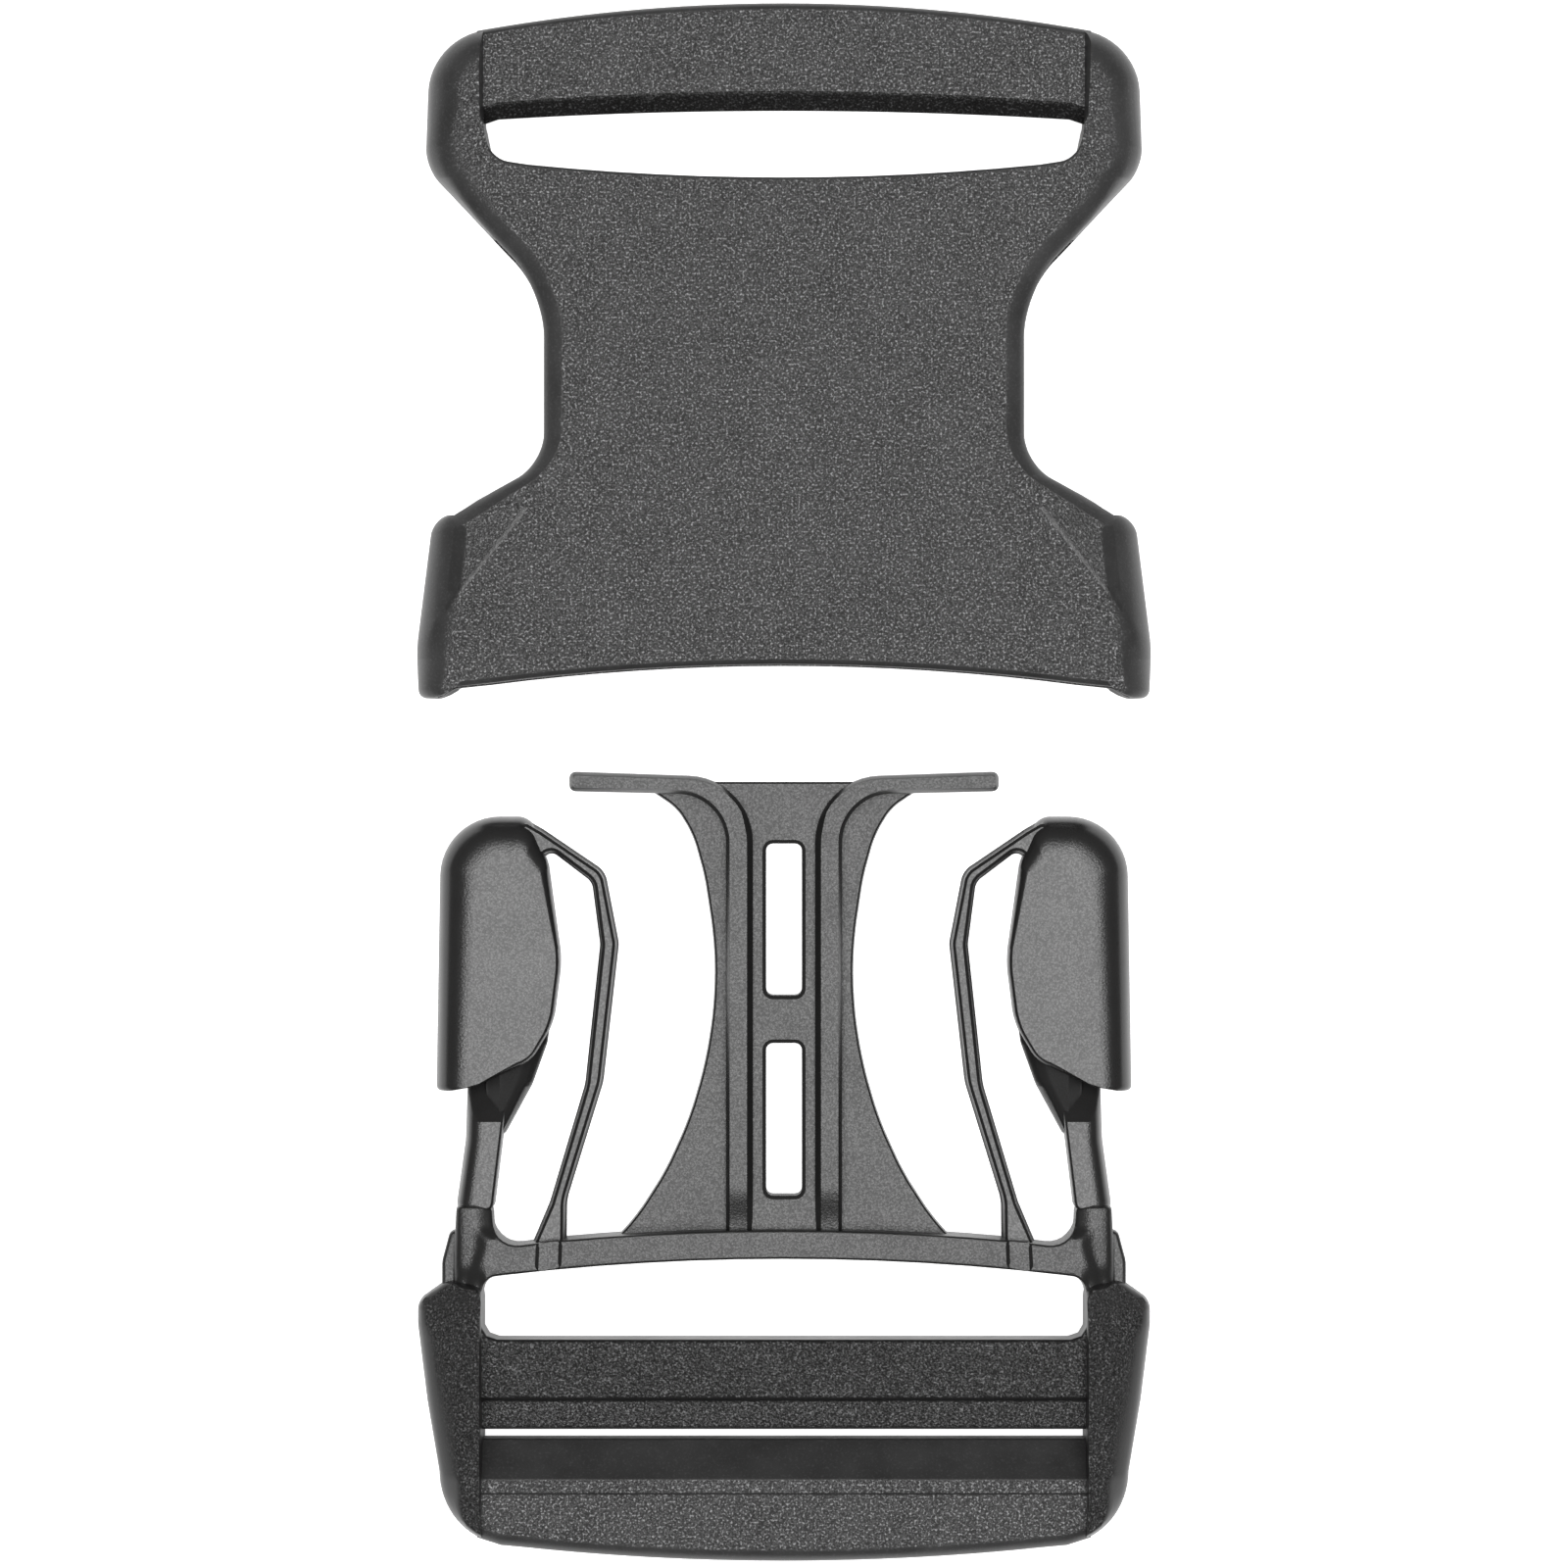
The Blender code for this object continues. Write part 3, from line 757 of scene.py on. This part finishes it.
plug = {
    "insertTop": 3.6,      # above the parting plane
    "guideHalf": 18.6,
    "guideTop": 0.9,
    "ribInner": 2.6,
    "ribOuter": 5.05,
    "plateTop": 2.2,
    "webTop": 1.4,
    "windowHalf": 1.55,
    "crossTop": -38.6,
    "crossBottom": -41.3,
    "crossDroop": 1.5,
    "postTop": -36.6,
    "postFall": 0.42,
    "postFrom": (24.6, 25.2),
    "postColumns": [24.8 + 0.27 * step for step in range(14)],
    "postRows": [-37.0 - 0.36 * step for step in range(19)],
    "postCrease": (25.3, -39.8),      # where the bar's end meets the post, nearest the middle
    "postCreaseBend": (0.35, 0.6),
    "postCreaseWidth": 1.1,
    "postUpper": (-39.6, -38.3),
    "postLower": (-41.6, -43.4),
    "footFall": 0.9,       # of the ribs' lower ends
    "footRows": (-34.8, -35.6, -36.4, -37.2, -38.0, -38.8),
    "railTop": -43.1,
    "railHalf": 31.75,
    "ladderHalf": 26.1,     # inner edges of the rails
    "bottom": plugLow.y / mm,
    "ladderTop": 4.2,
    "railCorner": (23.6, -59.75, 6.3),
    "railLean": 4.6,
    "railSlope": 0.66,
    "railRows": (-43.9, -44.7, -45.5, -46.5, -48.0, -60.5, -61.8, -63.0, -64.2),
    "railUpper": (-48.5, -43.1),
    "railUpperFall": 1.5,
    "railLower": (-60.5, -66.5),
    "railLowerFall": 1.3,
    # the rail's outer wall from the parting plane up: heights and shares of the lean
    "railHeights": (0.9, 1.7, 2.3, 2.8, 3.3, 3.8, 4.3, 4.8, 5.2),
    "railShares": (0.02, 0.05, 0.11, 0.20, 0.32, 0.46, 0.61, 0.77, 0.91),
    "windows": ((-5.35, -18.5), (-22.6, -35.8)),      # top and bottom
}


def crossEdge(x, level):
    return level - plug["crossDroop"] * (x / 25.0) ** 2


def crossBar():
    upper = [(x, crossEdge(x, plug["crossTop"]), 0) for x in range(0, 21, 4)]
    ends = [
        (25.0, -40.2, 2.1),
        (25.15, plug["postTop"], 0.6),
        (28.4, plug["postTop"], 0.5),
        (28.55, -39.5, 3.0),
        (28.8, -44.4, 0),
        (26.1, -44.4, 0),
        (25.7, crossEdge(25.7, plug["crossBottom"]), 1.2),
    ]
    lower = [(x, crossEdge(x, plug["crossBottom"]), 0) for x in range(24, -1, -4)]

    def sinkPosts(piece):
        # the bar's ends run down to lower posts, which slope again towards the rails
        creaseX, creaseY = plug["postCrease"]
        bend, softness = plug["postCreaseBend"]
        for side in (-1, 1):
            cutAt((1, 0, 0), [side * across for across in plug["postColumns"]])
        cutAt((0, 1, 0), plug["postRows"])
        for vert in bmesh.from_edit_mesh(piece.data).verts:
            across = abs(vert.co.x) / mm
            along = vert.co.y / mm
            crease = creaseX + bend * math.hypot(along - creaseY, softness)
            upper = smoothStep(along, *plug["postUpper"])
            begun = smoothStep(across, *plug["postFrom"])
            sunk = max(smoothStep(across, crease, crease + plug["postCreaseWidth"]), upper)
            fall = plug["postFall"] * sunk * begun
            fall += 0.13 * max(27.4 - across, 0) ** 2 * upper * begun
            fall += 0.12 * max(across - 26.4, 0) + 0.9 * max(across - 27.8, 0) ** 2
            fall += 0.5 * smoothStep(along, *plug["postLower"]) * smoothStep(across, 25.6, 26.4)
            vert.co.z *= 1 - fall / plug["insertTop"]

    levels = rolledLevels(plug["insertTop"], 0.1, 0.24, 3)
    return mould("crossBar", bothSides(upper + ends + lower), levels, shape=sinkPosts)


def lugs():
    corners = [
        (27.0, -38.5, 0),
        (28.95, -38.9, 0.6),
        (29.65, -41.5, 2.0),
        (29.65, -44.6, 0),
        (27.0, -44.6, 0),
    ]
    return mirrorPiece(mould("lugs", corners, rolledLevels(1.7, 0.05, 0.35)))


def knuckles():
    corners = [(19.05, -39.5, 0.5), (21.45, -39.75, 0.5), (21.6, -42.3, 0.5), (19.15, -41.95, 0.5)]

    def roll(spot):
        return 0.25 + 0.75 * smoothStep(abs(spot.x - 20.3), 0.9, 1.2)

    levels = bevelledLevels(plug["insertTop"] + 0.28, 0.03, 0.36)
    return mirrorPiece(mould("knuckles", corners, levels, roll))


def guideRibs():
    corners = [
        (plug["ribOuter"], -40.2, 0),
        (plug["ribOuter"], -1.15, 4.2),
        (plug["guideHalf"], -0.85, 0.55),
        (plug["guideHalf"], plug["guideTop"], 0.55),
        (plug["ribInner"], 0.35, 5.8),
        (plug["ribInner"], -40.2, 0),
    ]
    levels = [(1.6, 0.05, 0)] + bevelledLevels(plug["insertTop"] - 0.1, 0.2, 0.8)

    def roll(spot):
        # wider towards the windows
        return 0.36 + 0.24 * smoothStep(spot.x, 3.6, 2.8) * smoothStep(spot.y, -1.0, -4.0)

    def slopeFeet(piece):
        # the lower ends fall away before they meet the cross bar
        rows = plug["footRows"]
        cutAt((0, 1, 0), rows)
        for vert in bmesh.from_edit_mesh(piece.data).verts:
            fall = plug["footFall"] * smoothStep(vert.co.y / mm, rows[0], rows[-1])
            vert.co.z *= 1 - fall / plug["insertTop"]

    return mirrorPiece(mould("guideRibs", corners, levels, roll, shape=slopeFeet))


def guidePlate():
    right = [(7.2, 0.0, 0), (3.4, -5.0, 0), (3.4, -39.6, 0)]
    return mould("guidePlate", bothSides(right), bevelledLevels(plug["plateTop"], 0.05, 0.2))


def guideWeb():
    right = [
        (14.0, -0.2, 0),
        (11.6, -0.75, 3.0),
        (9.3, -2.3, 4.0),
        (7.9, -4.6, 8.0),
        (6.9, -8.2, 16.0),
        (6.1, -13.5, 30.0),
        (5.95, -18.5, 30.0),
        (6.8, -24.2, 30.0),
        (8.25, -29.2, 25.0),
        (10.3, -33.7, 20.0),
        (12.8, -37.6, 16.0),
        (15.2, -40.2, 0),
    ]
    return mould("guideWeb", bothSides(right), bevelledLevels(plug["webTop"], 0.1, 0.16))


def guideWindow(name, top, bottom):
    half = plug["windowHalf"]
    corners = [(-half, bottom, 0.6), (half, bottom, 0.6), (half, top, 0.6), (-half, top, 0.6)]
    return mould(name, corners, [(1.98, 0, 0), (2.2, -0.32, 0), (3.2, -0.5, 0)])


def rails():
    cornerX, cornerY, radius = plug["railCorner"]
    corners = [
        (cornerX + radius, cornerY, 0),
        (30.95, -53.5, 0),
        (plug["railHalf"], -47.0, 2.0),
        (plug["railHalf"], -44.9, 1.5),
        (29.2, plug["railTop"], 1.2),
        (plug["ladderHalf"], plug["railTop"] - 0.2, 0.8),
    ]
    last = math.acos((plug["ladderHalf"] - cornerX) / radius)
    for step in range(13):
        angle = -last + (last - math.radians(5)) * step / 12
        corners.append((cornerX + radius * math.cos(angle), cornerY + radius * math.sin(angle), 0))

    def lean(spot):
        down = smoothStep(spot.y, -62, -66) * smoothStep(spot.x, 31, 27)
        up = smoothStep(spot.y, -48.5, -43)
        width = plug["railHalf"] - plug["ladderHalf"]
        reach = min(max(spot.x - plug["ladderHalf"], 0) / width, 1)
        return plug["railLean"] * reach**1.5, 1.0 * up - 0.8 * down

    def clipTop(piece):
        # the top face falls away from its crisp inner edge, and gently towards both ends
        cutAt((0, 1, 0), plug["railRows"])
        for vert in bmesh.from_edit_mesh(piece.data).verts:
            along = vert.co.y / mm
            slope = plug["railSlope"] * max(abs(vert.co.x) / mm - plug["ladderHalf"], 0)
            ends = plug["railUpperFall"] * smoothStep(along, *plug["railUpper"]) ** 2
            ends += plug["railLowerFall"] * smoothStep(along, *plug["railLower"])
            vert.co.z = min(vert.co.z, (halfHeight - slope - ends) * mm)

    levels = [(height, 0, share) for height, share in zip(plug["railHeights"], plug["railShares"])]
    levels += [(5.6, 0.02, 0.98), (halfHeight, 0.12, 1)]
    return mirrorPiece(mould("rails", corners, levels, lean=lean, shape=clipTop))


def firstBar():
    top = plug["ladderTop"]
    section = [
        (-48.3, -top, 0.8),
        (-48.1, top, 0.5),
        (-53.2, top - 1.0, 0.3),
        (-53.5, top - 1.8, 0.25),
        (-56.0, top - 2.1, 0.5),
        (-56.1, -top, 0.5),
    ]

    def shift(x, y):
        # rounded where it meets the rails
        return 0.8 * max(abs(x) - 25.0, 0) ** 2 * smoothStep(y, -50, -48.5)

    return drawBar("firstBar", section, plug["ladderHalf"] + 0.4, 60, shift)


def secondBar():
    cornerX, _, radius = plug["railCorner"]
    top = plug["ladderTop"] - 0.2
    section = [
        (-57.0, -top, 0.5),
        (-56.95, 0.6, 0.4),
        (-60.2, top - 0.45, 0.4),
        (-61.35, top - 0.2, 0),
        (-61.5, top, 0),
        (plug["bottom"], top, 1.6),
        (plug["bottom"], -top, 1.6),
    ]

    def shift(x, y):
        share = smoothStep(y, -61.5, -66)
        over = max(abs(x) - cornerX, 0)
        reach = min(abs(x), cornerX) / cornerX
        return share * (1.3 * reach**2 + radius - math.sqrt(radius**2 - over**2))

    return drawBar("secondBar", section, plug["ladderHalf"] + 0.4, 26, shift)


def buildPlugFrame():
    smooth, shadedFinish = finishes["framePlastic"], finishes["shadedRailPlastic"]
    body = paint(crossBar(), smooth)
    body.name = "plugFrame"
    for makeShape in (lugs, knuckles, guideWeb, guidePlate, guideRibs):
        combine(body, paint(makeShape(), smooth), "UNION")
    # the rails and the first bar take the darker copy of the grained plastic: painted shade
    for makeShape in (rails, firstBar):
        combine(body, paint(makeShape(), shadedFinish), "UNION")
    combine(body, paint(secondBar(), finishes["texturedPlastic"]), "UNION")
    for number, (top, bottom) in enumerate(plug["windows"]):
        window = guideWindow(f"windowCutter{number}", top, bottom)
        combine(body, paint(window, smooth), "DIFFERENCE")
    finishPiece(body, ["plug_frame"])
    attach(body, "plug")
    return body


buildPlugFrame()
print("plug frame done")


# Release arms: pad, fin, stem and strut, one moulding with the plug at their roots

arm = {
    "top": 3.6,
    "padHalf": armHigh.x / mm + 0.1,
    "padTop": armHigh.y / mm + 0.2,
    "heel": -26.8,
    "padLean": 2.5,
    "padTopLean": 2.6,
    "padRollInner": 0.35,
    "padRollOuter": 0.75,
    "padRollHeel": 0.3,
    "stemTop": 3.0,
    "stemEnd": -37.1,
    "stemRows": (-29.4, -28.6, -27.8, -27.0, -26.3, -25.65),      # of the pocket under the heel
    "stemSlope": 0.72,
    "stemDeepest": 2.7,
    "strutTop": 2.6,
    "finTop": 2.4,
    "finRidge": 24.6,
    "finSlopes": (0.42, -0.9),       # towards the middle and towards the stem
    "finLean": 1.2,
    "bendX": 26.5,
    "bendStart": -40.0,
    "bendEnd": -28.0,
}


def padPlan():
    top = arm["padTop"]
    return [
        (27.2, -26.4, 0.4),
        (arm["padHalf"], arm["heel"], 0.4),
        (29.75, top, 5.2),
        (21.9, top, 1.6),
        (20.45, -7.0, 3.0),
        (19.3, -15.5, 9.0),
        (20.0, -21.0, 6.0),
        (21.9, -24.2, 3.0),
    ]


def padRoll(spot):
    outside = max(smoothStep(spot.x, 21.5, 25), smoothStep(spot.y, -9.0, -5.5))
    away = smoothStep(spot.y, -27.6, -22)      # from the heel
    width = arm["padRollInner"] + arm["padRollOuter"] * outside
    return width * away + arm["padRollHeel"] * (1 - away)


def padLean(spot):
    across = arm["padLean"] * smoothStep(spot.x, 24.2, 30.9)
    return across, arm["padTopLean"] * smoothStep(spot.y, -9, -3)


def armParts(side):
    def turned(corners):
        return [(x * side, y, radius) for x, y, radius in corners]

    def rollAt(spot):
        return padRoll(Vector((abs(spot.x), spot.y, 0)))

    def leanAt(spot):
        across, along = padLean(Vector((abs(spot.x), spot.y, 0)))
        return across * side, along

    pad = mould("pad", turned(padPlan()), domedLevels(arm["top"], 1.2), rollAt, leanAt)
    fin = [
        (20.2, -20.5, 0.5),
        (20.5, -22.6, 2.0),
        (21.8, -26.2, 3.0),
        (24.2, -30.6, 0.6),
        (25.8, -30.6, 0),
        (25.8, -20.5, 0),
    ]
    stem = [
        (28.45, arm["stemEnd"], 0.65),
        (27.6, -31.0, 6.0),
        (27.35, -24.0, 0),
        (23.9, -24.0, 0),
        (24.1, -28.5, 3.0),
        (25.15, arm["stemEnd"], 0.65),
    ]
    strut = [
        (23.4, -3.9, 0),
        (22.3, -3.3, 0.6),
        (20.9, -4.1, 3.0),
        (15.5, -7.75, 1.8),
        (14.3, -14.0, 2.0),
        (15.65, -26.0, 5.0),
        (18.8, -36.2, 4.0),
        (18.85, -40.2, 0),
        (21.9, -40.2, 0),
        (20.3, -36.4, 2.0),
        (17.25, -26.2, 5.0),
        (15.95, -14.1, 2.0),
        (16.65, -8.7, 1.2),
        (20.2, -6.0, 0.7),
        (21.6, -7.4, 0),
        (23.4, -7.4, 0),
    ]

    def finLean(spot):
        return -arm["finLean"] * side * smoothStep(abs(spot.x), 26.5, 22.5), 0

    def stemRoll(spot):
        return 0.3 + 0.3 * smoothStep(abs(spot.x), 25.8, 26.8)

    def stemLean(spot):
        return 1.0 * side * smoothStep(abs(spot.x), 26.0, 27.6), 0

    def tiltFin(piece):
        # two slopes from a ridge beside the stem
        cutAt((1, 0, 0), [arm["finRidge"] * side])
        inner, outer = arm["finSlopes"]
        for vert in bmesh.from_edit_mesh(piece.data).verts:
            ridge = arm["finRidge"] - abs(vert.co.x) / mm
            fall = max(inner * ridge, outer * ridge)
            vert.co.z *= 1 - fall / arm["finTop"]

    def sinkStemTop(piece):
        # a steep pocket under the heel of the pad
        rows = arm["stemRows"]
        cutAt((0, 1, 0), rows)
        for vert in bmesh.from_edit_mesh(piece.data).verts:
            fall = min(arm["stemSlope"] * max(vert.co.y / mm - rows[0], 0), arm["stemDeepest"])
            vert.co.z *= 1 - fall / arm["stemTop"]

    finLevels = domedLevels(arm["finTop"], 0.4)
    stemLevels = domedLevels(arm["stemTop"], 0.7)
    strutLevels = rimmedLevels(arm["strutTop"], 0.22, 0.26)
    parts = [
        mould("fin", turned(fin), finLevels, lambda spot: 0.25, finLean, tiltFin),
        mould("stem", turned(stem), stemLevels, stemRoll, stemLean, sinkStemTop),
        mould("strut", turned(strut), strutLevels),
    ]
    return pad, parts


def buildArm(name, side, node):
    satin = finishes["satinPlastic"]
    pad, parts = armParts(side)
    paint(pad, satin)
    pad.name = name
    for part in parts:
        combine(pad, paint(part, satin), "UNION")
    finishPiece(pad, [node])
    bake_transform(pad)
    return pad


buildArm("releaseArmLeft", -1, "release_arm_left")
buildArm("releaseArmRight", 1, "release_arm_right")
print("release arms done")


# Studio: white table, one round soft box overhead, camera straight above

studio = {
    "table": 4.0,
    "tableLevel": -0.01,   # mm, so that the table and the flat undersides don't share a plane
    "tableWhite": 0.9,
    "tableGlow": 0.3,
    "tableLift": 0.6,      # added where the camera sees the table, so that it stays white
    "boxDiameter": 0.95,
    "boxHeight": 0.95,
    "boxPower": 12.5,
    "room": 0.06,
    "roomShown": 0.92,
    "cameraHeight": 0.7,
    "cameraShiftY": -0.0002,
    "frameWidth": 136,      # mm across the picture at the parting plane
}


def buildStudio():
    pickOnly(None)
    level = studio["tableLevel"] * mm
    bpy.ops.mesh.primitive_plane_add(size=studio["table"], location=(0, 0, level))
    table = bpy.context.object
    table.name = "whiteTable"
    white = bpy.data.materials.new("whiteTable")
    white.use_nodes = True
    shader = white.node_tree.nodes["Principled BSDF"]
    shader.inputs["Base Color"].default_value = (studio["tableWhite"],) * 3 + (1,)
    shader.inputs["Roughness"].default_value = 0.9
    shader.inputs["Specular IOR Level"].default_value = 0.1
    shader.inputs["Emission Color"].default_value = (1, 1, 1, 1)
    seen = addNode(white.node_tree, "ShaderNodeLightPath")
    glow = addNode(white.node_tree, "ShaderNodeMapRange")
    glow.inputs["To Min"].default_value = studio["tableGlow"]
    glow.inputs["To Max"].default_value = studio["tableGlow"] + studio["tableLift"]
    white.node_tree.links.new(seen.outputs["Is Camera Ray"], glow.inputs["Value"])
    white.node_tree.links.new(glow.outputs[0], shader.inputs["Emission Strength"])
    table.data.materials.append(white)

    bpy.ops.object.light_add(type="AREA", location=(0, 0, studio["boxHeight"]))
    softBox = bpy.context.object
    softBox.name = "softBox"
    softBox.data.shape = "DISK"
    softBox.data.size = studio["boxDiameter"]
    softBox.data.energy = studio["boxPower"]

    world = bpy.data.worlds.new("room")
    bpy.context.scene.world = world
    world.use_nodes = True
    tree = world.node_tree
    backdrop = tree.nodes["Background"]
    path = addNode(tree, "ShaderNodeLightPath")
    shown = addNode(tree, "ShaderNodeMapRange")
    shown.inputs["To Min"].default_value = studio["room"]
    shown.inputs["To Max"].default_value = studio["roomShown"]
    tree.links.new(path.outputs["Is Camera Ray"], shown.inputs["Value"])
    tree.links.new(shown.outputs[0], backdrop.inputs["Strength"])
    backdrop.inputs["Color"].default_value = (1, 1, 1, 1)

    bpy.ops.object.camera_add(
        location=(0, studio["cameraShiftY"], studio["cameraHeight"]), rotation=(0, 0, 0)
    )
    camera = bpy.context.object
    camera.data.sensor_width = 36
    distance = studio["cameraHeight"] / mm - halfHeight
    camera.data.lens = camera.data.sensor_width * distance / studio["frameWidth"]
    camera.data.clip_start = 0.01
    bpy.context.scene.camera = camera
    bpy.context.scene.view_settings.view_transform = "Standard"


buildStudio()
print("studio done")
